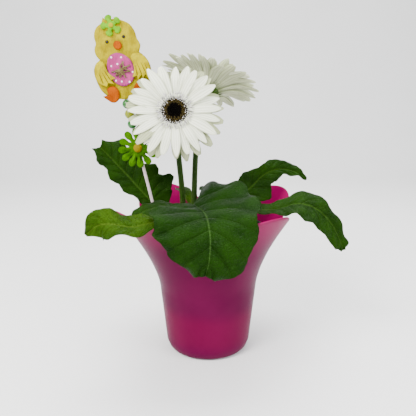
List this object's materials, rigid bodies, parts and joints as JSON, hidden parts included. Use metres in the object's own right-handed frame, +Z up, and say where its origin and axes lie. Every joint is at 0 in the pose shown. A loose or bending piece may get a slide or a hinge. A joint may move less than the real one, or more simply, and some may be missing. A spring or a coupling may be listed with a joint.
{
  "type": "potted gerbera",
  "caption": "White gerbera daisy plant with green leaves in a flared magenta plastic pot with a lobed rim, with a felt chick on a beaded pick.",
  "frame": {"origin": "centre of the cover pot's flat base, on the surface the pot stands on", "axes": "+Z up along the pot's axis, -Y towards the viewer's side that the front bloom faces, +X to that viewer's right"},
  "size_m": [0.2505, 0.1975, 0.3264],
  "materials": {
    "pot_plastic": "frosted, slightly see-through magenta",
    "nursery_plastic": "thin dark plastic",
    "soil": null,
    "leaf": null,
    "stem": null,
    "petal": null,
    "floret": null,
    "eye": null,
    "stick": "pale painted stick",
    "green_bead": "polished",
    "yellow_bead": "polished",
    "green_felt": "felt",
    "yellow_felt": "felt",
    "pink_felt": "felt with white dots",
    "orange_felt": "felt",
    "button": "ochre dome",
    "black_bead": "polished",
    "twine": "rough natural twine"
  },
  "bodies": {
    "root": {"cover_pot": "pot_plastic", "nursery_pot": "nursery_plastic", "soil": "soil", "leaf_front": "leaf", "leaf_front_left": "leaf", "leaf_left": "leaf", "leaf_back_left": "leaf", "leaf_right_back": "leaf", "leaf_right_front": "leaf", "leaf_back": "leaf", "leaf_young": "leaf", "front_bloom_rays": "petal", "front_bloom_florets": "floret", "front_bloom_eye": "eye", "front_bloom_stem": "stem", "back_bloom_rays": "petal", "back_bloom_florets": "floret", "back_bloom_eye": "eye", "back_bloom_stem": "stem", "stick": "stick", "bead_lower": "green_bead", "bead_middle": "yellow_bead", "bead_upper": "green_bead", "stick_flower": "green_felt", "stick_flower_button": "button", "chick_body": "yellow_felt", "chick_egg": "pink_felt", "chick_wing_left": "yellow_felt", "chick_wing_right": "yellow_felt", "chick_foot_left": "orange_felt", "chick_foot_right": "orange_felt", "chick_beak": "orange_felt", "chick_eye_left": "black_bead", "chick_eye_right": "black_bead", "chick_flower": "green_felt", "chick_flower_button": "yellow_felt", "egg_bow": "twine"}
  },
  "joints": []
}
